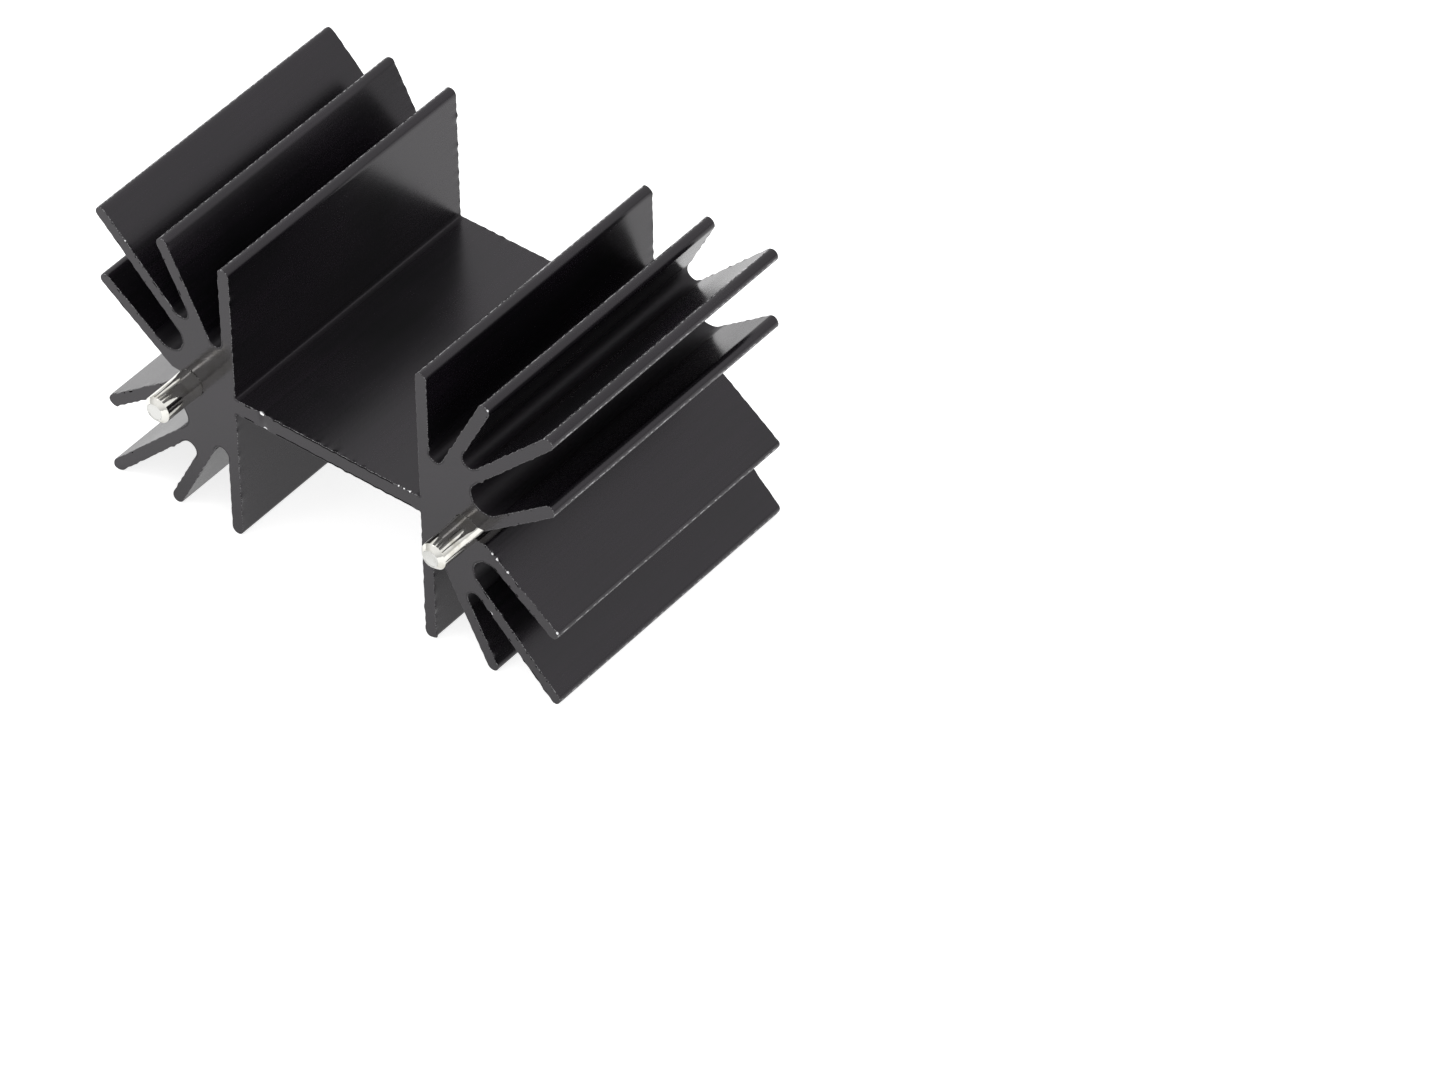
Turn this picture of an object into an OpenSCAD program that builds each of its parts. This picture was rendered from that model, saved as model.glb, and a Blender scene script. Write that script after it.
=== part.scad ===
// Board heat sink: a short length of finned aluminium extrusion with two solder pins.
// It lies on its lower fin tips, with its pins pointing along -Y.

/* [Extrusion] */
// Width over the side fin tips
body_w = 41.6; // [34:0.1:54]
// Height over the upper and lower fin tips
body_h = 25.0; // [20:0.1:32]
// Sawn length of the extrusion
body_l = 25.4; // [16:0.1:76]
// Thickness of every fin and of the two inner walls, whose tips are full rounds
fin_t = 1.0; // [0.7:0.05:1.3]

/* [Slot] */
// Clear width between the inner walls
slot_w = 17.0; // [14:0.1:20.5]
// Thickness of the web that carries the device
web_t = 1.4; // [1:0.1:3]
// Fillet between the web and the inner walls
web_fillet_r = 0.4; // [0.1:0.05:1.5]

/* [Fins] */
// Height of the side fins' tips above and below the web's middle
side_tip_z = 5.75; // [4.8:0.05:7]
// How far inside an inner wall's middle the centre lines of the top fins start
top_foot_in = 0.4; // [0:0.05:1]
// How far inside an inner wall's middle the centre lines of the corner fins start
corner_foot_in = 0.7; // [0:0.05:1.5]
// Middle of the round root between an inner wall and a top fin, out from the wall's middle
wall_root_out = 1.1; // [0.9:0.05:1.6]
// Middle of the round root between a top fin and a corner fin, out from the wall's middle
corner_root_out = 4.25; // [3.9:0.05:5]
// Middle of the round root between a corner fin and a side fin, out from the pin's axis
side_root_out = 1.85; // [1.5:0.05:2.6]

/* [Solder pins] */
// Distance between the two pins' axes
pin_pitch = 25.4; // [21:0.1:31]
// Diameter of a pin's free end
pin_d = 2.2; // [1.6:0.05:2.7]
// Length of a pin outside the end face
pin_free_l = 4.0; // [2:0.1:8]
// Length of a pin's shank inside its channel
pin_shank_l = 8.0; // [3:0.5:14]
// How much thicker the pressed shank is than the free end
pin_shank_extra = 0.1; // [0.05:0.01:0.3]
// Length of the taper from the shank down to the free end, inside the channel's mouth
pin_taper_l = 0.6; // [0.5:0.05:2]
// Width of the bevel round a pin's free end
pin_bevel_w = 0.4; // [0.1:0.05:0.6]
// Length of the bevel along a pin
pin_bevel_l = 0.35; // [0.1:0.05:1]
// Opening of a pin's channel towards the gap between the side fins
channel_mouth = 1.3; // [0.6:0.05:1.5]

/* [Hidden] */
$fn = 96;

// How far the round roots run into the faces of their fins
root_bite = 0.002;

half_fin = fin_t / 2;
tip_z = body_h / 2 - half_fin;
side_tip_x = body_w / 2 - half_fin;
wall_x = slot_w / 2 + half_fin;
top_tip_x = (wall_x + side_tip_x) / 2;
pin_x = pin_pitch / 2;
channel_r = (pin_d + pin_shank_extra) / 2;
seat_y = (pin_free_l - body_l) / 2;
mid_z = body_h / 2;

// Centre lines of one quarter's fins, from the web's middle line out to the middle of each tip:
// inner wall, top fin, corner fin and side fin, which starts at the pin's axis
feet = [[wall_x, 0], [wall_x - top_foot_in, 0], [wall_x - corner_foot_in, 0], [pin_x, 0]];
tips = [[wall_x, tip_z], [top_tip_x, tip_z], [side_tip_x, tip_z], [side_tip_x, side_tip_z]];
last = len(feet) - 1;

// Distance of the middle of each round root from the middle plane, one root per pair of neighbours
roots_x = [wall_x + wall_root_out, wall_x + corner_root_out, pin_x + side_root_out];

// Unit vector along fin i's centre line
function along(i) = (tips[i] - feet[i]) / norm(tips[i] - feet[i]);

// Height of root i's middle, which is as far from the centre line of fin i as from fin i + 1's
function root_z(i) =
    let (a = along(i), b = along(i + 1))
    ((roots_x[i] - feet[i].x) * a.y + (roots_x[i] - feet[i + 1].x) * b.y) / (a.x + b.x);

function root_middle(i) = [roots_x[i], root_z(i)];

// Distance from a point to the centre line of fin i
function off_line(i, p) = abs(cross(p - feet[i], along(i)));

// The point of fin i's centre line that is nearest to a point
function beside(i, p) = feet[i] + along(i) * ((p - feet[i]) * along(i));

// Radius of root i, which runs smoothly into the faces of both its fins
function root_r(i) = off_line(i, root_middle(i)) - half_fin + root_bite;

// Outline of one quarter's solid core, in to the centre lines of the fins and the roots' middles
core = [
    feet[last],
    for (i = [last - 1:-1:0]) each [
        beside(i + 1, root_middle(i)),
        root_middle(i),
        beside(i, root_middle(i))
    ],
    feet[0]
];

// Where fin i leaves the middle of the inner wall, or its foot if that lies further out
function start(i) = i == 0 ? feet[0] : feet[i] + along(i) * max(0, wall_x - feet[i].x) / along(i).x;

// One fin with its full round tip
module fin(i) {
    run = tips[i] - start(i);
    translate(start(i))
        rotate(atan2(run.y, run.x)) {
            translate([0, -half_fin])
                square([norm(run), fin_t]);
            translate([norm(run), 0])
                circle(r = half_fin);
        }
}

// Fillet in the corner between the web and an inner wall
module web_fillet() {
    translate([slot_w / 2 - web_fillet_r, web_t / 2])
        difference() {
            square(web_fillet_r);
            translate([0, web_fillet_r])
                circle(r = web_fillet_r);
        }
}

// One quarter of the cross section: four fins, the core between them and the web's fillet
module quarter() {
    for (i = [0:last])
        fin(i);
    difference() {
        polygon(core);
        for (i = [0:last - 1])
            translate(root_middle(i))
                circle(r = root_r(i));
    }
    web_fillet();
}

// Round channel that holds a pin, open to the gap between the side fins
module pin_channel() {
    translate([pin_x, 0])
        circle(r = channel_r);
    translate([pin_x, -channel_mouth / 2])
        square([side_tip_x - pin_x, channel_mouth]);
}

// Cross section of the extrusion, with the web's middle at the origin
module profile() {
    difference() {
        union() {
            square([2 * wall_x, web_t], center = true);
            for (x = [0, 1], y = [0, 1])
                mirror([x, 0])
                    mirror([0, y])
                        quarter();
        }
        for (x = [0, 1])
            mirror([x, 0])
                pin_channel();
    }
}

// Black anodised extrusion, sawn square at both ends
module finned_body() {
    color("#2b2b2d")
        translate([0, seat_y + body_l, mid_z])
            rotate([90, 0, 0])
                linear_extrude(height = body_l)
                    profile();
}

// Turned and tinned pin: a pressed shank, a short taper and a bevelled free end that points along -Y
module solder_pin(side) {
    free_r = pin_d / 2;
    lead_in = pin_shank_extra;
    color("#d8d6cf")
        translate([side * pin_x, seat_y, mid_z])
            rotate([90, 0, 0])
                rotate_extrude()
                    polygon([
                        [0, -pin_shank_l],
                        [channel_r - lead_in, -pin_shank_l],
                        [channel_r, -pin_shank_l + lead_in],
                        [channel_r, -pin_taper_l],
                        [free_r, 0],
                        [free_r, pin_free_l - pin_bevel_l],
                        [free_r - pin_bevel_w, pin_free_l],
                        [0, pin_free_l]
                    ]);
}

module left_solder_pin() {
    solder_pin(-1);
}

module right_solder_pin() {
    solder_pin(1);
}

finned_body();
left_solder_pin();
right_solder_pin();
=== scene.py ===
"""Board heat sink: a short length of black finned extrusion with two tinned solder pins, on a pale floor."""

import logging
import math
from collections.abc import Sequence
from dataclasses import dataclass, field
from enum import Enum

import bpy
import numpy as np
from mathutils import Euler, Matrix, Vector
from mathutils.geometry import delaunay_2d_cdt


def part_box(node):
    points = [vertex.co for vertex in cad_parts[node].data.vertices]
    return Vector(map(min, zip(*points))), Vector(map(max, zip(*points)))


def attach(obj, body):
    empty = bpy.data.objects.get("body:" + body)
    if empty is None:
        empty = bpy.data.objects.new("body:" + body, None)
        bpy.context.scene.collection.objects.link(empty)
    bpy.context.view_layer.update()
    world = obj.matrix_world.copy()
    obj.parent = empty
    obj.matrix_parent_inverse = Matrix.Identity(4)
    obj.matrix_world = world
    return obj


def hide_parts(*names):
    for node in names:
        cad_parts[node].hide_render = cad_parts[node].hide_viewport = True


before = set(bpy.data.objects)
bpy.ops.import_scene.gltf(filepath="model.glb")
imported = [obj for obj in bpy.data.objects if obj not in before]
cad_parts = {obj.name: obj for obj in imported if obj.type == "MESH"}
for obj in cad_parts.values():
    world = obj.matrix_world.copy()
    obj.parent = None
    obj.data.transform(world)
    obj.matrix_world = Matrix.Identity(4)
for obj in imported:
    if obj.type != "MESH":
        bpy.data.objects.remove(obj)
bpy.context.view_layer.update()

MM = 0.001
# Fewest points on an arc
ARC_LEAST = 6
# Middle of a noise, and the range that the sum of two noises mostly keeps to
NOISE_MIDDLE = 0.5
NOISE_SUM = (0.7, 1.3)
# Output type of the triangulation: only the triangles inside the outline
INSIDE_ONLY = 1
LOG = logging.getLogger("heat_sink")

Colour = tuple[float, float, float, float]
Feed = bpy.types.NodeSocket | float | tuple[float, ...]


class Side(Enum):
    """The two sides of the heat sink, by the sign of their X."""

    LEFT = -1
    RIGHT = 1


class Grain(Enum):
    """How a face of the extrusion was made."""

    EXTRUDED = "extruded"
    SAWN = "sawn"


def stretch(start: Sequence[float], end: Sequence[float], step: float) -> np.ndarray:
    """A straight run of points: start plus t times the way to the end, for even t from 0 and under 1.

    Args:
        start: First point.
        end: Point that the run stops short of.
        step: Greatest distance between neighbours.

    Returns:
        The points as an array of rows.
    """
    start = np.asarray(start, float)
    end = np.asarray(end, float)
    count = max(1, math.ceil(np.linalg.norm(end - start) / step))
    share = np.arange(count)[:, None] / count
    return start + share * (end - start)


def arc(middle: Sequence[float], radius: float, begin: float, end: float, step: float) -> np.ndarray:
    """A run of points on a circle: middle plus radius times (cos a, sin a), for even a from begin to short of end.

    Args:
        middle: Middle of the circle.
        radius: Radius of the circle.
        begin: First angle, in radians.
        end: Angle that the run stops short of; under begin, the run goes clockwise.
        step: Greatest distance between neighbours.

    Returns:
        The points as an array of rows.
    """
    count = max(ARC_LEAST, math.ceil(abs(end - begin) * radius / step))
    angle = begin + (end - begin) * np.arange(count) / count
    return np.asarray(middle, float) + radius * np.stack([np.cos(angle), np.sin(angle)], axis=1)


def heading(way: np.ndarray) -> float:
    """Angle of a plane vector, in radians."""
    return math.atan2(way[1], way[0])


def unit_rows(rows: np.ndarray) -> np.ndarray:
    """Rows divided by their lengths."""
    return rows / np.linalg.norm(rows, axis=1, keepdims=True)


@dataclass(frozen=True)
class WearAndGlintLine:
    """A line of wear and painted glint along round tips: the way it faces and its spread, in degrees, and its
    strength.
    """

    facing: float
    spread: float
    strength: float

    def share(self, turn: np.ndarray) -> np.ndarray:
        """Wear and painted glint of surfaces that face turn degrees to the right of straight up: a bell curve about
        the line.
        """
        return self.strength * np.exp(-((turn - self.facing) / self.spread) ** 2)


@dataclass(frozen=True)
class FanSection:
    """Cross section of the extrusion about the web's middle, as plane points (x, height), in metres.

    One quarter holds four fins that leave the web like the ribs of a fan: the inner wall, the top fin, the corner
    fin and the side fin. Neighbours meet in round roots, and every fin ends in a full round.
    """

    width: float
    height: float
    fin_t: float = 1.0 * MM
    slot_w: float = 17.0 * MM
    web_t: float = 1.4 * MM
    web_fillet: float = 0.15 * MM
    side_tip: float = 5.75 * MM
    top_foot_in: float = 0.4 * MM
    corner_foot_in: float = 0.7 * MM
    wall_root_out: float = 1.1 * MM
    corner_root_out: float = 4.25 * MM
    side_root_out: float = 1.85 * MM
    pin_pitch: float = 25.4 * MM
    channel_r: float = 1.15 * MM
    channel_mouth: float = 1.3 * MM
    flat_step: float = 0.13 * MM
    round_step: float = 0.07 * MM
    recess_fade: float = 0.25 * MM
    tip_fade: float = 0.03 * MM
    # The top line is painted glint as well as wear: bare metal specks on the tip shoulders that face up to the left,
    # towards the lamps
    top_wear_and_glint: WearAndGlintLine = WearAndGlintLine(-30, 13, 1.0)
    outer_wear: WearAndGlintLine = WearAndGlintLine(92, 8, 0.8)

    @property
    def half_fin(self) -> float:
        """Half of a fin's thickness, which is also the radius of its tip."""
        return self.fin_t / 2

    @property
    def pin_x(self) -> float:
        """Distance of a pin's axis from the middle plane."""
        return self.pin_pitch / 2

    def centre_lines(self) -> tuple[np.ndarray, np.ndarray]:
        """Feet and tips of the four fins' centre lines.

        Returns:
            The feet and the middles of the tips, one row per fin, from the inner wall to the side fin.
        """
        wall_x = self.slot_w / 2 + self.half_fin
        tip_z = self.height / 2 - self.half_fin
        side_x = self.width / 2 - self.half_fin
        feet = np.array([[wall_x, 0], [wall_x - self.top_foot_in, 0], [wall_x - self.corner_foot_in, 0],
                         [self.pin_x, 0]])
        tips = np.array([[wall_x, tip_z], [(wall_x + side_x) / 2, tip_z], [side_x, tip_z],
                         [side_x, self.side_tip]])
        return feet, tips

    def roots(self, feet: np.ndarray, ways: np.ndarray) -> tuple[np.ndarray, np.ndarray]:
        """Round roots between neighbouring fins: each middle is as far from one centre line as from the other.

        Args:
            feet: Feet of the centre lines.
            ways: Unit vectors along the centre lines.

        Returns:
            The roots' middles, one row each, and their radii, which reach the fins' faces.
        """
        wall_x = feet[0, 0]
        across = np.array([wall_x + self.wall_root_out, wall_x + self.corner_root_out,
                           self.pin_x + self.side_root_out])
        one, other = ways[:-1], ways[1:]
        rise = (across - feet[:-1, 0]) * one[:, 1] + (across - feet[1:, 0]) * other[:, 1]
        middles = np.stack([across, rise / (one[:, 0] + other[:, 0])], axis=1)
        reach = middles - feet[:-1]
        radii = np.abs(reach[:, 0] * one[:, 1] - reach[:, 1] * one[:, 0]) - self.half_fin
        return middles, radii

    def quarter(self) -> np.ndarray:
        """Outline of the upper right quarter, from the web's upper face to the inmost point of the pin channel.

        Returns:
            The points in order, with the metal on their right, both ends included.
        """
        feet, tips = self.centre_lines()
        ways = unit_rows(tips - feet)
        inward = np.stack([-ways[:, 1], ways[:, 0]], axis=1)
        middles, radii = self.roots(feet, ways)
        web_z = self.web_t / 2
        fillet_x = self.slot_w / 2 - self.web_fillet
        runs = [
            stretch((0, web_z), (fillet_x, web_z), self.flat_step),
            arc((fillet_x, web_z + self.web_fillet), self.web_fillet, -math.pi / 2, 0, self.round_step),
        ]
        here = np.array([self.slot_w / 2, web_z + self.web_fillet])
        for i, tip in enumerate(tips):
            face = inward[i] * self.half_fin
            runs.append(stretch(here, tip + face, self.flat_step))
            turn = heading(face)
            runs.append(arc(tip, self.half_fin, turn, turn - math.pi, self.round_step))
            if i < len(radii):
                leave = middles[i] + inward[i] * radii[i]
                here = middles[i] - inward[i + 1] * radii[i]
                begin = heading(leave - middles[i]) % (2 * math.pi)
                end = heading(here - middles[i]) % (2 * math.pi)
                runs.append(stretch(tip - face, leave, self.flat_step))
                runs.append(arc(middles[i], radii[i], begin, end, self.round_step))
        lip_z = self.channel_mouth / 2
        face_end = tips[-1] - inward[-1] * self.half_fin
        lip = face_end - ways[-1] * (face_end[1] - lip_z) / ways[-1, 1]
        mouth_angle = math.asin(lip_z / self.channel_r)
        mouth = (self.pin_x + self.channel_r * math.cos(mouth_angle), lip_z)
        runs.append(stretch(face_end, lip, self.flat_step))
        runs.append(stretch(lip, mouth, self.flat_step))
        runs.append(arc((self.pin_x, 0), self.channel_r, mouth_angle, math.pi, self.round_step))
        runs.append(np.array([[self.pin_x - self.channel_r, 0]]))
        return np.concatenate(runs)

    def outline(self) -> np.ndarray:
        """Closed outline of the whole section: the quarter and its three mirror images, clockwise.

        Returns:
            The points in order, each once.
        """
        quarter = self.quarter()
        right = np.concatenate([quarter, (quarter * (1, -1))[::-1][1:]])
        left = (right * (-1, 1))[::-1][1:-1]
        return np.concatenate([right, left])

    def recess(self, points: np.ndarray) -> np.ndarray:
        """How deep in a round root or fillet each point lies: 1 on its arc, and fading with distance from its circle.

        Args:
            points: Outline points, one row each.

        Returns:
            The share at each point, from 0 to 1.
        """
        feet, tips = self.centre_lines()
        middles, radii = self.roots(feet, unit_rows(tips - feet))
        fillet = np.array([self.slot_w, self.web_t]) / 2 + (-self.web_fillet, self.web_fillet)
        middles, radii = np.vstack([middles, fillet]), np.append(radii, self.web_fillet)
        away = np.linalg.norm(np.abs(points)[:, None] - middles, axis=2) - radii
        return np.exp(-(np.abs(away).min(axis=1) / self.recess_fade) ** 2)

    def tip_wear_and_glint(self, points: np.ndarray, normals: np.ndarray) -> np.ndarray:
        """How much wear and painted glint each point gets: on round tips only, most where one at the top faces up to
        the left, towards the lamps, which is painted glint as well as wear, and where one at the outer right faces to
        the right.

        Args:
            points: Outline points, one row each.
            normals: Their outward unit normals.

        Returns:
            The share at each point, from 0 to 1.
        """
        tips = self.centre_lines()[1]
        from_tip = np.linalg.norm(np.abs(points)[:, None] - tips, axis=2).min(axis=1)
        on_tip = np.exp(-((from_tip - self.half_fin) / self.tip_fade) ** 2)
        turn = np.degrees(np.arctan2(normals[:, 0], normals[:, 1]))
        at_top = np.abs(points[:, 1]) > self.height / 2 - self.fin_t
        at_outer = points[:, 0] > self.width / 2 - self.fin_t
        # Painted glint and wear on top tips that face up to the left
        top = np.where(at_top, self.top_wear_and_glint.share(turn), 0)
        outer = np.where(at_outer, self.outer_wear.share(turn), 0)
        return on_tip * np.maximum(top, outer)


@dataclass(frozen=True)
class Nick:
    """A small dent at the front edge of the section, where the black layer is gone."""

    x: float
    height: float
    reach: float
    depth: float


NICKS = (
    Nick(-6.1 * MM, 0.7 * MM, 0.24 * MM, 0.07 * MM),
    Nick(-5.8 * MM, -0.7 * MM, 0.24 * MM, 0.05 * MM),
    Nick(6.6 * MM, 0.7 * MM, 0.10 * MM, 0.03 * MM),
    Nick(7.1 * MM, 0.7 * MM, 0.08 * MM, 0.03 * MM),
    Nick(7.6 * MM, 0.7 * MM, 0.12 * MM, 0.04 * MM),
    Nick(-18.3 * MM, 10.4 * MM, 0.07 * MM, 0.03 * MM),
    Nick(14.9 * MM, 12.2 * MM, 0.12 * MM, 0.04 * MM),
    Nick(14.8 * MM, -1.3 * MM, 0.14 * MM, 0.04 * MM),
    Nick(15.3 * MM, -1.5 * MM, 0.16 * MM, 0.04 * MM),
    Nick(16.1 * MM, -2.5 * MM, 0.15 * MM, 0.04 * MM),
    Nick(14.5 * MM, -7.2 * MM, 0.18 * MM, 0.05 * MM),
    Nick(20.6 * MM, -5.6 * MM, 0.14 * MM, 0.04 * MM),
)


class ShaderGraph:
    """The shader nodes of one material or world, added and joined by short calls."""

    def __init__(self, tree: bpy.types.NodeTree) -> None:
        """Empties the tree.

        Args:
            tree: Node tree to fill.
        """
        self.tree = tree
        tree.nodes.clear()

    def add(self, kind: str, feeds: dict[str | int, Feed] | None = None, **settings: object) -> bpy.types.Node:
        """Adds one node.

        Args:
            kind: Blender's type name of the node.
            feeds: What each input gets: another node's output, or a value.
            settings: Properties of the node.

        Returns:
            The new node.
        """
        node = self.tree.nodes.new(kind)
        for name, value in settings.items():
            setattr(node, name, value)
        for name, feed in (feeds or {}).items():
            if isinstance(feed, bpy.types.NodeSocket):
                self.tree.links.new(feed, node.inputs[name])
            else:
                node.inputs[name].default_value = feed
        return node

    def place(self) -> bpy.types.NodeSocket:
        """Object coordinates, in metres."""
        return self.add("ShaderNodeTexCoord").outputs["Object"]

    def attribute(self, name: str) -> bpy.types.NodeSocket:
        """A strength that the mesh carries at its vertices."""
        return self.add("ShaderNodeAttribute", attribute_name=name).outputs["Fac"]

    def noise(self, place: Feed, pitch: Sequence[float], detail: float = 2.0) -> bpy.types.NodeSocket:
        """Noise of its own pitch along each axis.

        Args:
            place: Coordinates to read.
            pitch: Size of the noise's cells along X, Y and Z, in metres.
            detail: How many finer layers are added.

        Returns:
            The noise, mostly from 0.3 to 0.7.
        """
        scaled = self.add("ShaderNodeMapping", {"Vector": place, "Scale": tuple(1 / p for p in pitch)})
        texture = self.add("ShaderNodeTexNoise", {"Vector": scaled.outputs[0], "Scale": 1.0, "Detail": detail})
        return texture.outputs["Fac"]

    def remap(self, value: Feed, low: float, high: float, to_low: float, to_high: float) -> bpy.types.NodeSocket:
        """Carries a value from one range to another, without leaving the second.

        Args:
            value: What to carry over.
            low: Start of the first range.
            high: End of the first range.
            to_low: Start of the second range.
            to_high: End of the second range.

        Returns:
            The value in the second range.
        """
        feeds = {"Value": value, "From Min": low, "From Max": high, "To Min": to_low, "To Max": to_high}
        return self.add("ShaderNodeMapRange", feeds).outputs[0]

    def maths(self, operation: str, *feeds: Feed) -> bpy.types.NodeSocket:
        """One sum, product or the like of values.

        Args:
            operation: Blender's name of the operation.
            feeds: Its operands.

        Returns:
            The result.
        """
        return self.add("ShaderNodeMath", dict(enumerate(feeds)), operation=operation).outputs[0]

    def blend(self, share: Feed, one: Feed, other: Feed) -> bpy.types.NodeSocket:
        """Mixes two colours.

        Args:
            share: How much of the second colour there is.
            one: First colour.
            other: Second colour.

        Returns:
            The mixed colour.
        """
        node = self.add("ShaderNodeMix", {0: share, 6: one, 7: other}, data_type="RGBA")
        return node.outputs[2]

    def bump(self, height: Feed, relief: float) -> bpy.types.NodeSocket:
        """Normals of a surface raised by height times relief, in metres."""
        return self.add("ShaderNodeBump", {"Height": height, "Distance": relief, "Strength": 1.0}).outputs[0]

    def vector_maths(self, operation: str, *feeds: Feed) -> bpy.types.Node:
        """One operation on vectors, by Blender's name of it."""
        return self.add("ShaderNodeVectorMath", dict(enumerate(feeds)), operation=operation)


def new_material(name: str) -> tuple[bpy.types.Material, ShaderGraph]:
    """Makes a node material.

    Args:
        name: Name of the material.

    Returns:
        The material and its empty graph.
    """
    material = bpy.data.materials.new(name)
    material.use_nodes = True
    return material, ShaderGraph(material.node_tree)


@dataclass(frozen=True)
class BlackAnodise:
    """Satin black anodised aluminium, with bare metal at nicks and specks of it along worn edges, where those on the
    tip shoulders facing up to the left are painted glint as well as wear.
    """

    grain: Grain
    dark: Colour = (0.0026, 0.0032, 0.0032, 1)
    pale: Colour = (0.0084, 0.0062, 0.0092, 1)
    bare: Colour = (0.86, 0.86, 0.87, 1)
    smooth: float = 0.21
    rough: float = 0.29
    root_rough: float = 0.55
    streak: float = 0.3
    oxide_ior: float = 1.5
    cast: Colour = (0.99, 0.94, 1.0, 1)
    die_line_pitch: float = 0.16 * MM
    die_line_length: float = 30 * MM
    saw_mark_pitch: float = 0.22 * MM
    saw_middle: tuple[float, float, float] = (0.06, 0.0, -0.09)
    haze_pitch: tuple[float, float, float] = (5 * MM, 9 * MM, 5 * MM)
    grit_pitch: tuple[float, float, float] = (0.12 * MM, 0.12 * MM, 0.12 * MM)
    speck_pitch: tuple[float, float, float] = (0.06 * MM, 0.3 * MM, 0.06 * MM)
    wear_and_glint_range: tuple[float, float] = (0.35, 0.75)
    speck_range: tuple[float, float] = (0.55, 0.62)
    speck_share: float = 0.7
    nick_range: tuple[float, float] = (0.50, 0.56)
    grit_relief: float = 0.2
    relief: float = 0.0025 * MM

    def lines(self, graph: ShaderGraph, place: bpy.types.NodeSocket) -> bpy.types.NodeSocket:
        """Fine lines of the face: along the length where extruded, and arcs about the blade's middle where sawn.

        Args:
            graph: Graph to add to.
            place: Object coordinates.

        Returns:
            The lines' height, mostly from 0.3 to 0.7.
        """
        if self.grain is Grain.EXTRUDED:
            pitch = (self.die_line_pitch, self.die_line_length, self.die_line_pitch)
            return graph.noise(place, pitch, 3.0)
        spoke = graph.vector_maths("SUBTRACT", place, self.saw_middle).outputs[0]
        flat = graph.vector_maths("MULTIPLY", spoke, (1.0, 0.0, 1.0)).outputs[0]
        radius = graph.vector_maths("LENGTH", flat).outputs["Value"]
        feeds = {"W": graph.maths("DIVIDE", radius, self.saw_mark_pitch), "Scale": 1.0, "Detail": 3.0}
        return graph.add("ShaderNodeTexNoise", feeds, noise_dimensions="1D").outputs["Fac"]

    def material(self) -> bpy.types.Material:
        """Makes the material: bare metal in the nicks and in specks where worn and where glint is painted, and
        anodise with a satin gloss, which is duller in the round roots.

        Returns:
            The material.
        """
        material, graph = new_material(f"black_anodise_{self.grain.value}")
        place = graph.place()
        lines = self.lines(graph, place)
        haze = graph.noise(place, self.haze_pitch, 3.0)
        grit = graph.noise(place, self.grit_pitch, 2.0)
        cells = graph.noise(place, self.speck_pitch, 0.0)
        # Bare metal specks follow the wear attribute, which holds painted glint on tip shoulders as well as wear
        wear_and_glint_share = graph.remap(graph.attribute("wear_and_glint"), *self.wear_and_glint_range, 0.0, 1.0)
        wear_and_glint_specks = graph.maths("MULTIPLY", wear_and_glint_share, graph.remap(cells, *self.speck_range, 0.0, self.speck_share))
        nick = graph.maths("ADD", graph.attribute("nick"), graph.maths("SUBTRACT", grit, NOISE_MIDDLE))
        bare = graph.maths("MAXIMUM", wear_and_glint_specks, graph.remap(nick, *self.nick_range, 0.0, 1.0))
        tone = graph.remap(graph.maths("ADD", lines, haze), *NOISE_SUM, 0.0, 1.0)
        colour = graph.blend(bare, graph.blend(tone, self.dark, self.pale), self.bare)
        satin = graph.remap(graph.maths("ADD", haze, grit), *NOISE_SUM, self.smooth, self.rough)
        dull = graph.maths("MULTIPLY", graph.attribute("recess"), self.root_rough)
        roughness = graph.maths("MAXIMUM", satin, dull)
        height = graph.maths("ADD", lines, graph.maths("MULTIPLY", grit, self.grit_relief))
        normal = graph.add("ShaderNodeNewGeometry").outputs["Normal"]
        across = graph.vector_maths("CROSS_PRODUCT", normal, (0.0, 1.0, 0.0))
        shader = graph.add("ShaderNodeBsdfPrincipled", {
            "Base Color": colour,
            "Metallic": bare,
            "Roughness": roughness,
            "IOR": self.oxide_ior,
            "Specular Tint": self.cast,
            "Anisotropic": self.streak,
            "Tangent": across.outputs[0],
            "Normal": graph.bump(height, self.relief),
        })
        graph.add("ShaderNodeOutputMaterial", {"Surface": shader.outputs[0]})
        return material


@dataclass(frozen=True)
class TinPlate:
    """Bright tin plate over a drawn pin: fine lines along it, shallow lumps and dull stains."""

    name: str = "tin_plate"
    clean: Colour = (0.78, 0.77, 0.73, 1)
    dull: Colour = (0.58, 0.56, 0.49, 1)
    smooth: float = 0.05
    rough: float = 0.17
    line_pitch: tuple[float, float, float] = (0.13 * MM, 5 * MM, 0.13 * MM)
    lump_pitch: tuple[float, float, float] = (0.5 * MM, 1.1 * MM, 0.5 * MM)
    stain_pitch: tuple[float, float, float] = (0.9 * MM, 0.9 * MM, 0.9 * MM)
    stain_range: tuple[float, float] = (0.48, 0.72)
    rough_range: tuple[float, float] = (0.4, 0.7)
    line_relief: float = 0.5
    relief: float = 0.006 * MM

    def material(self) -> bpy.types.Material:
        """Makes the material: its stains are duller in colour and in gloss, and its lines and lumps are bumps.

        Returns:
            The material.
        """
        material, graph = new_material(self.name)
        place = graph.place()
        lines = graph.noise(place, self.line_pitch, 2.0)
        lumps = graph.noise(place, self.lump_pitch, 2.0)
        stain = graph.noise(place, self.stain_pitch, 4.0)
        height = graph.maths("ADD", graph.maths("MULTIPLY", lines, self.line_relief), lumps)
        shader = graph.add("ShaderNodeBsdfPrincipled", {
            "Base Color": graph.blend(graph.remap(stain, *self.stain_range, 0.0, 1.0), self.clean, self.dull),
            "Metallic": 1.0,
            "Roughness": graph.remap(stain, *self.rough_range, self.smooth, self.rough),
            "Normal": graph.bump(height, self.relief),
        })
        graph.add("ShaderNodeOutputMaterial", {"Surface": shader.outputs[0]})
        return material


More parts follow.
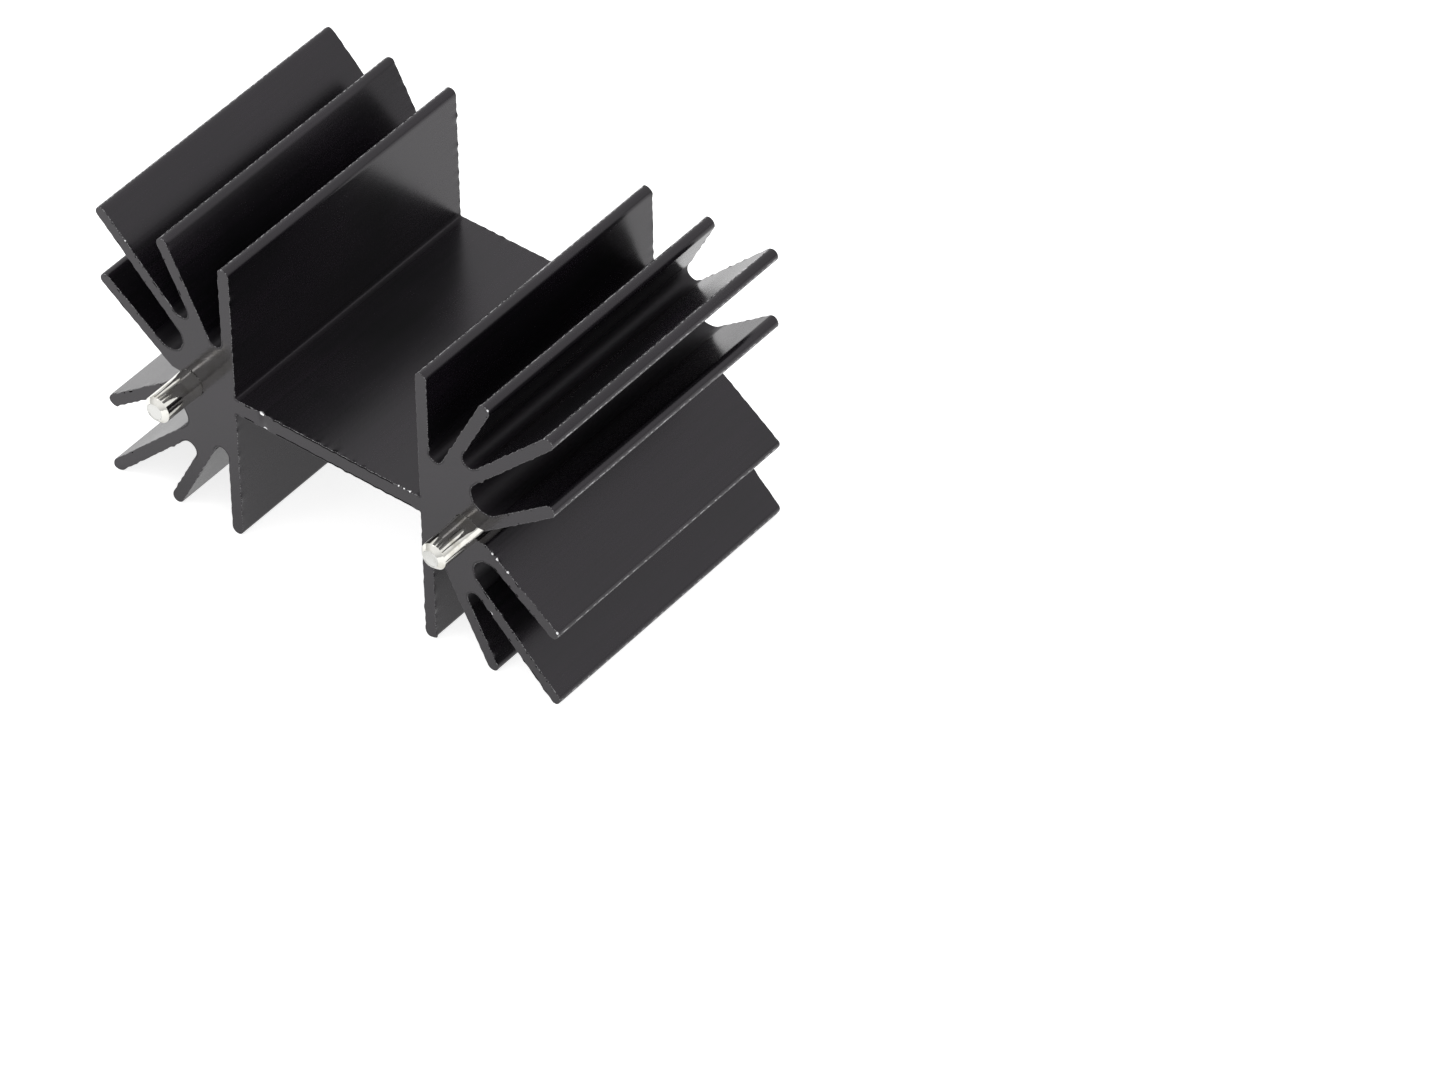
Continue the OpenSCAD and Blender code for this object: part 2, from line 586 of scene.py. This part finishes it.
def new_piece(name: str, points: np.ndarray, faces: list[list[int]], stands_for: str) -> bpy.types.Object:
    """Makes a smooth shaded piece of the heat sink, which stands for a CAD node and rides with the root body.

    Args:
        name: Name of the piece.
        points: Places of its vertices, one row each.
        faces: Vertex numbers of each face, facing outwards.
        stands_for: CAD node that it replaces.

    Returns:
        The piece.
    """
    mesh = bpy.data.meshes.new(name)
    mesh.from_pydata(points, [], faces)
    mesh.polygons.foreach_set("use_smooth", np.ones(len(mesh.polygons), bool))
    mesh.validate()
    mesh.update()
    piece = bpy.data.objects.new(name, mesh)
    bpy.context.scene.collection.objects.link(piece)
    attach(piece, "root")
    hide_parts(stands_for)
    return piece


def report(piece: bpy.types.Object) -> None:
    """Logs a piece's name and how large its mesh is."""
    LOG.info("%s: %d vertices, %d faces", piece.name, len(piece.data.vertices), len(piece.data.polygons))


def ring_faces(rings: int, count: int) -> np.ndarray:
    """Faces of a closed strip: ring j's vertex i, its neighbour i + 1, and the same two of ring j + 1.

    Args:
        rings: Number of rings, which follow each other in the vertex list.
        count: Vertices in each ring.

    Returns:
        Four vertex numbers per row.
    """
    ring, i = np.meshgrid(np.arange(rings - 1) * count, np.arange(count), indexing="ij")
    following = (i + 1) % count
    return np.stack([ring + i, ring + following, ring + count + following, ring + count + i], axis=-1).reshape(-1, 4)


@dataclass
class FinnedExtrusion:
    """The black body: the fan section carried along Y between two sawn ends, whose edges are worn round."""

    section: FanSection
    front: float
    rear: float
    middle_z: float
    edge_r: float = 0.04 * MM
    edge_rings: int = 5
    sawn_insets: tuple[float, ...] = (0.30 * MM, 0.16 * MM, 0.055 * MM)
    inward_steps: tuple[float, ...] = (0.015 * MM, 0.06 * MM, 0.12 * MM, 0.25 * MM, 0.8 * MM)
    long_step: float = 8.0 * MM
    even_over: int = 4
    burr_size: float = 0.05 * MM
    burr_depth: float = 0.15 * MM
    burr_waves: int = 40
    burr_turns: tuple[int, int] = (60, 480)
    crest_from: float = 1.3
    crest_share: float = 0.5
    swell_share: float = 0.35
    rim_reach: float = 0.08 * MM
    rim_wear: float = 0.55
    wear_and_glint_reach: float = 0.05 * MM
    merge_gap: float = 1e-7
    seed: int = 7
    points: np.ndarray = field(init=False)
    normals: np.ndarray = field(init=False)

    def __post_init__(self) -> None:
        """Works out the outline and its outward unit normals, evened over neighbours so that insets can't fold."""
        self.points = self.section.outline()
        ahead = unit_rows(np.roll(self.points, -1, axis=0) - self.points)
        tangent = unit_rows(ahead + np.roll(ahead, 1, axis=0))
        normals = np.stack([-tangent[:, 1], tangent[:, 0]], axis=1)
        shifts = range(-self.even_over, self.even_over + 1)
        self.normals = unit_rows(sum(np.roll(normals, shift, axis=0) for shift in shifts))

    def stations(self) -> tuple[np.ndarray, np.ndarray]:
        """Rings along the body: flat ones on each sawn face, a quarter round, and ever wider steps inwards.

        Returns:
            Each ring's Y, and how far inside the outline it lies.
        """
        turn = np.linspace(0, math.pi / 2, self.edge_rings)
        flat = np.array(self.sawn_insets)
        steps = self.edge_r + np.array(self.inward_steps)
        near_y = np.concatenate([0 * flat, self.edge_r * (1 - np.cos(turn)), steps])
        near_inset = np.concatenate([flat, self.edge_r * (1 - np.sin(turn)), 0 * steps])
        inner = stretch([self.front + near_y[-1]], [self.rear - near_y[-1]], self.long_step)[1:, 0]
        y = np.concatenate([self.front + near_y, inner, (self.rear - near_y)[::-1]])
        inset = np.concatenate([near_inset, np.zeros(len(inner)), near_inset[::-1]])
        return y, inset

    def burr(self) -> np.ndarray:
        """Metal that the saw smeared past the outline or tore off it: the sum of random waves round it, whose crests
        are raised once more.

        Returns:
            The height at each outline point, under 0 where metal is gone.
        """
        random = np.random.default_rng(self.seed)
        gaps = np.linalg.norm(np.roll(self.points, -1, axis=0) - self.points, axis=1)
        turn = 2 * math.pi * np.concatenate([[0], np.cumsum(gaps)[:-1]]) / gaps.sum()
        waves = random.integers(*self.burr_turns, self.burr_waves)
        phases = random.uniform(0, 2 * math.pi, self.burr_waves)
        swell = np.sin(turn[:, None] * waves + phases).sum(axis=1) / math.sqrt(self.burr_waves / 2)
        crests = np.maximum(swell - self.crest_from, 0)
        return self.burr_size * (self.crest_share * crests + self.swell_share * swell)

    def skin(self) -> tuple[np.ndarray, np.ndarray, np.ndarray]:
        """Vertices of all rings: outline point plus its normal times burr less inset, at the ring's Y, and pushed in
        at the nicks.

        Returns:
            The vertices as rings of rows, and the strengths of wear with painted glint and of nicks at each.
        """
        y, inset = self.stations()
        from_end = np.minimum(y - self.front, self.rear - y)
        fade = np.exp(-(from_end / self.burr_depth) ** 2)
        out = fade[:, None] * self.burr() - inset[:, None]
        plane = self.points + out[:, :, None] * self.normals
        limit = np.array([self.section.width, self.section.height]) / 2
        plane = np.clip(plane, -limit, limit)
        tall = np.broadcast_to(y[:, None], out.shape)
        skin = np.stack([plane[..., 0], tall, plane[..., 1] + self.middle_z], axis=-1)
        # Tip shoulders facing up to the left get painted glint with the wear; the sawn rims get real wear
        tip_wear_and_glint = self.section.tip_wear_and_glint(self.points, self.normals)
        rim = np.exp(-(np.hypot(from_end, inset) / self.rim_reach) ** 2)
        wear_and_glint = np.maximum(np.exp(-inset / self.wear_and_glint_reach)[:, None] * tip_wear_and_glint, self.rim_wear * rim[:, None])
        nicked = np.zeros_like(wear_and_glint)
        for nick in NICKS:
            nearest = np.linalg.norm(self.points - (nick.x, nick.height), axis=1).argmin()
            at = self.points[nearest]
            centre = np.array([at[0], self.front, at[1] + self.middle_z])
            dent = np.exp(-np.sum(((skin - centre) / nick.reach) ** 2, axis=-1))
            dent[[0, -1]] = 0  # the rings that the flat caps fill stay flat
            inward = -self.normals[nearest]
            skin = skin + nick.depth * dent[..., None] * np.array([inward[0], 1.0, inward[1]])
            nicked = np.maximum(nicked, dent)
        return skin, wear_and_glint, nicked

    def cap(self, ring: np.ndarray, first: int, flip: bool) -> np.ndarray:
        """Fills a sawn face inside its ring with triangles, worked out in millimetres.

        Args:
            ring: The ring's vertices.
            first: Number of its first vertex.
            flip: Whether the face looks along +Y.

        Returns:
            Three vertex numbers per row.
        """
        count = len(ring)
        edges = np.stack([np.arange(count), (np.arange(count) + 1) % count], axis=1)
        plane = [tuple(p) for p in (ring[:, [0, 2]] / MM).tolist()]
        made = delaunay_2d_cdt(plane, edges.tolist(), [], INSIDE_ONLY, self.merge_gap)
        triangles, sources = made[2], made[3]
        corners = np.array([source[0] for source in sources])[np.array(triangles)] + first
        return corners[:, ::-1] if flip else corners

    def build(self) -> bpy.types.Object:
        """Makes the body's mesh, with the strengths of wear and painted glint, nicks and recesses as attributes.

        Returns:
            The piece.
        """
        skin, wear_and_glint, nicked = self.skin()
        rings, count = wear_and_glint.shape
        sides = ring_faces(rings, count)
        front = self.cap(skin[0], 0, False)
        rear = self.cap(skin[-1], (rings - 1) * count, True)
        faces = [*sides.tolist(), *front.tolist(), *rear.tolist()]
        points = skin.reshape(-1, 3)
        piece = new_piece("finned_extrusion", points, faces, "finned_body")
        recess = np.broadcast_to(self.section.recess(self.points), wear_and_glint.shape)
        # The wear attribute holds painted glint on tip shoulders as well as wear
        for name, values in (("wear_and_glint", wear_and_glint), ("nick", nicked), ("recess", recess)):
            attribute = piece.data.attributes.new(name, "FLOAT", "POINT")
            attribute.data.foreach_set("value", values.astype(np.float32).ravel())
        # The sawn finish covers both caps and the strip of faces round each
        sawn = np.zeros(len(faces), np.int32)
        sawn[:count] = 1
        sawn[len(sides) - count:] = 1
        piece.data.polygons.foreach_set("material_index", sawn)
        return piece

    def dress(self, piece: bpy.types.Object) -> None:
        """Gives the long faces their extruded finish and the ends their smoother sawn one.

        Args:
            piece: The body.
        """
        piece.data.materials.append(BlackAnodise(Grain.EXTRUDED).material())
        sawn = BlackAnodise(Grain.SAWN, smooth=0.11, rough=0.21, root_rough=0.0, streak=0.0)
        piece.data.materials.append(sawn.material())


@dataclass
class SolderPin:
    """A drawn pin: a shank in its channel, a thin collar of tin at the face and a bevelled, slightly dished end."""

    side: Side
    section: FanSection
    seat: float
    middle_z: float
    radius: float = 1.1 * MM
    free_l: float = 4.0 * MM
    shank_l: float = 8.0 * MM
    collar_l: float = 1.3 * MM
    bevel_w: float = 0.4 * MM
    bevel_l: float = 0.35 * MM
    dish_depth: float = 0.08 * MM
    lead_in: float = 0.1 * MM
    slack: float = 0.003 * MM
    edge_blend: float = 0.03 * MM
    edge_points: int = 5
    turns: int = 96

    @property
    def name(self) -> str:
        """Name of the CAD node that the pin stands for."""
        return f"{self.side.name.lower()}_solder_pin"

    def profile(self) -> np.ndarray:
        """Half section of the pin, as (radius, distance out of the seat), from the free end's middle to the shank's.

        Each corner is rounded by the curve corner + blend ((1 - t)^2 back + t^2 on), for t from 0 to 1, where back
        and on are the unit vectors to the corners before and after it.

        Returns:
            The points in order, without the two on the axis.
        """
        shank_r = self.section.channel_r - self.slack
        corners = np.array([
            (0, self.free_l - self.dish_depth),
            (self.radius - self.bevel_w - self.dish_depth, self.free_l - self.dish_depth),
            (self.radius - self.bevel_w, self.free_l),
            (self.radius, self.free_l - self.bevel_l),
            (self.radius, self.collar_l),
            (shank_r, 0),
            (shank_r, -self.shank_l + self.lead_in),
            (shank_r - self.lead_in, -self.shank_l),
            (0, -self.shank_l),
        ])
        t = np.linspace(0, 1, self.edge_points)[:, None]
        runs = []
        for before, corner, after in zip(corners[:-2], corners[1:-1], corners[2:]):
            back = (before - corner) / np.linalg.norm(before - corner)
            on = (after - corner) / np.linalg.norm(after - corner)
            runs.append(corner + self.edge_blend * ((1 - t) ** 2 * back + t ** 2 * on))
        return np.concatenate(runs)

    def build(self) -> bpy.types.Object:
        """Turns the half section about the pin's axis: (r cos a, y, r sin a) for even a round the circle.

        The faces of the dished free end take the second material.

        Returns:
            The piece.
        """
        profile = self.profile()
        angle = np.linspace(0, 2 * math.pi, self.turns, endpoint=False)
        across = profile[:, :1] * np.cos(angle)
        tall = np.broadcast_to(self.seat - profile[:, 1:], across.shape)
        up = profile[:, :1] * np.sin(angle)
        shift = (self.side.value * self.section.pin_x, 0, self.middle_z)
        wall = np.stack([across, tall, up], axis=-1).reshape(-1, 3) + shift
        poles = np.array([(0, self.seat - self.free_l, 0), (0, self.seat + self.shank_l, 0)]) + shift
        rings = len(profile)
        sides = ring_faces(rings, self.turns)[:, ::-1]
        first = np.arange(self.turns)
        following = (first + 1) % self.turns
        last_ring = (rings - 1) * self.turns
        pole = np.full(self.turns, len(wall))
        near = np.stack([pole, first, following], axis=1)
        far = np.stack([pole + 1, last_ring + following, last_ring + first], axis=1)
        faces = [*sides.tolist(), *near.tolist(), *far.tolist()]
        piece = new_piece(f"tinned_{self.name}", np.concatenate([wall, poles]), faces, self.name)
        # The cut finish covers the dish: its two first corners' rings, and the fan round the near pole
        cut = np.zeros(len(faces), np.int32)
        cut[:(2 * self.edge_points - 1) * self.turns] = 1
        cut[len(sides):len(sides) + self.turns] = 1
        piece.data.polygons.foreach_set("material_index", cut)
        return piece

    def dress(self, piece: bpy.types.Object, plate: bpy.types.Material, cut: bpy.types.Material) -> None:
        """Gives the sides and the bevel their plating and the dished free end its cut finish.

        Args:
            piece: The pin.
            plate: Finish of the sides and the bevel.
            cut: Finish of the free end.
        """
        piece.data.materials.append(plate)
        piece.data.materials.append(cut)


@dataclass(frozen=True)
class SoftLamp:
    """A flat lamp that faces the heat sink: the way to it, its distance, its size, how bright it is, and whether
    reflections show it.
    """

    name: str
    way: tuple[float, float, float]
    distance: float
    width: float
    height: float
    radiance: float
    mirrored: bool

    def build(self) -> bpy.types.Object:
        """Makes the lamp, whose power is its radiance times pi and its area.

        Returns:
            The lamp.
        """
        light = bpy.data.lights.new(self.name, "AREA")
        light.shape = "RECTANGLE"
        light.size = self.width
        light.size_y = self.height
        light.energy = self.radiance * math.pi * self.width * self.height
        lamp = bpy.data.objects.new(self.name, light)
        bpy.context.scene.collection.objects.link(lamp)
        lamp.location = Vector(self.way).normalized() * self.distance
        lamp.rotation_euler = (-lamp.location).to_track_quat("-Z", "Y").to_euler()
        lamp.visible_glossy = self.mirrored
        return lamp


@dataclass
class Studio:
    """Pale floor, soft white surroundings, a broad lamp behind on the left, a small one in front, and the camera."""

    floor_half: float = 2.0
    floor_albedo: float = 0.6
    floor_glow: float = 0.8
    floor_gloss_glow: float = 0.6
    horizon: float = 0.65
    zenith: float = 1.05
    dome_from: float = 0.05
    dome_to: float = 0.45
    fill: SoftLamp = SoftLamp("fill_lamp", (-0.55, 0.70, 0.30), 0.8, 0.9, 0.4, 3.0, False)
    key: SoftLamp = SoftLamp("key_lamp", (-0.35, -0.58, 0.74), 0.6, 0.14, 0.14, 4.0, True)
    camera_place: tuple[float, float, float] = (0.32774, -0.37693, 0.45234)
    camera_azimuth: float = 38.594
    camera_elevation: float = 42.428
    camera_roll: float = -0.797
    camera_lens: float = 232.82
    camera_sensor: float = 36.0
    camera_near: float = 0.01

    def floor_light(self, graph: ShaderGraph) -> bpy.types.NodeSocket:
        """Strength of the floor's glow: one value for rays from the camera, one for those that a surface sends on.

        Args:
            graph: Graph to add to.

        Returns:
            The strength, which is 0 for the rays that light the scene.
        """
        path = graph.add("ShaderNodeLightPath").outputs
        sent_on = graph.maths("MAXIMUM", path["Is Glossy Ray"], path["Is Transmission Ray"])
        straight = graph.maths("MULTIPLY", path["Is Camera Ray"], self.floor_glow)
        return graph.maths("MAXIMUM", straight, graph.maths("MULTIPLY", sent_on, self.floor_gloss_glow))

    def build_floor(self) -> bpy.types.Object:
        """Makes the floor, which lightens to white where the camera or a reflection sees it, and keeps shadows.

        Returns:
            The floor.
        """
        half = self.floor_half
        mesh = bpy.data.meshes.new("floor")
        mesh.from_pydata([(-half, -half, 0), (half, -half, 0), (half, half, 0), (-half, half, 0)], [], [(0, 1, 2, 3)])
        floor = bpy.data.objects.new("floor", mesh)
        bpy.context.scene.collection.objects.link(floor)
        material, graph = new_material("pale_floor")
        albedo = (self.floor_albedo,) * 3 + (1,)
        paint = graph.add("ShaderNodeBsdfDiffuse", {"Color": albedo})
        glow = graph.add("ShaderNodeEmission", {"Strength": self.floor_light(graph)})
        both = graph.add("ShaderNodeAddShader", {0: paint.outputs[0], 1: glow.outputs[0]})
        graph.add("ShaderNodeOutputMaterial", {"Surface": both.outputs[0]})
        mesh.materials.append(material)
        return floor

    def build_world(self) -> None:
        """Makes the surroundings: white where the camera sees them, and brighter upwards for everything else."""
        world = bpy.data.worlds.new("surroundings")
        world.use_nodes = True
        bpy.context.scene.world = world
        graph = ShaderGraph(world.node_tree)
        way = graph.add("ShaderNodeTexCoord").outputs["Generated"]
        rise = graph.add("ShaderNodeSeparateXYZ", {0: way}).outputs["Z"]
        dome = graph.remap(rise, self.dome_from, self.dome_to, self.horizon, self.zenith)
        camera = graph.add("ShaderNodeLightPath").outputs["Is Camera Ray"]
        strength = graph.add("ShaderNodeMix", {0: camera, 2: dome, 3: 1.0}).outputs[0]
        light = graph.add("ShaderNodeBackground", {"Color": (1, 1, 1, 1), "Strength": strength})
        graph.add("ShaderNodeOutputWorld", {"Surface": light.outputs[0]})

    def build_camera(self) -> None:
        """Makes the camera, turned by its azimuth, elevation and roll."""
        lens = bpy.data.cameras.new("camera")
        lens.lens = self.camera_lens
        lens.sensor_width = self.camera_sensor
        lens.clip_start = self.camera_near
        camera = bpy.data.objects.new("camera", lens)
        bpy.context.scene.collection.objects.link(camera)
        camera.location = self.camera_place
        tilt = math.radians(90 - self.camera_elevation)
        turn = Euler((tilt, 0, math.radians(self.camera_azimuth))).to_quaternion()
        roll = Euler((0, 0, math.radians(self.camera_roll))).to_quaternion()
        camera.rotation_mode = "QUATERNION"
        camera.rotation_quaternion = turn @ roll
        bpy.context.scene.camera = camera

    def build(self) -> None:
        """Makes the floor, the surroundings, the lamps and the camera, and keeps plain display colours."""
        self.build_floor()
        self.build_world()
        self.fill.build()
        self.key.build()
        self.build_camera()
        bpy.context.scene.view_settings.view_transform = "Standard"


def main() -> None:
    """Builds the heat sink around the frame, and the studio around the heat sink."""
    logging.basicConfig(level=logging.INFO, format="%(name)s: %(message)s")
    low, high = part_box("finned_body")
    section = FanSection(width=high.x - low.x, height=high.z - low.z)
    middle_z = (low.z + high.z) / 2
    body = FinnedExtrusion(section, front=low.y, rear=high.y, middle_z=middle_z)
    extrusion = body.build()
    body.dress(extrusion)
    report(extrusion)
    plate = TinPlate().material()
    cut = TinPlate("tin_plate_cut", (0.66, 0.66, 0.64, 1), (0.56, 0.56, 0.53, 1), smooth=0.20, rough=0.28).material()
    for side in Side:
        pin = SolderPin(side, section, seat=low.y, middle_z=middle_z)
        turned = pin.build()
        pin.dress(turned, plate, cut)
        report(turned)
    Studio().build()


if __name__ == "__main__":
    main()
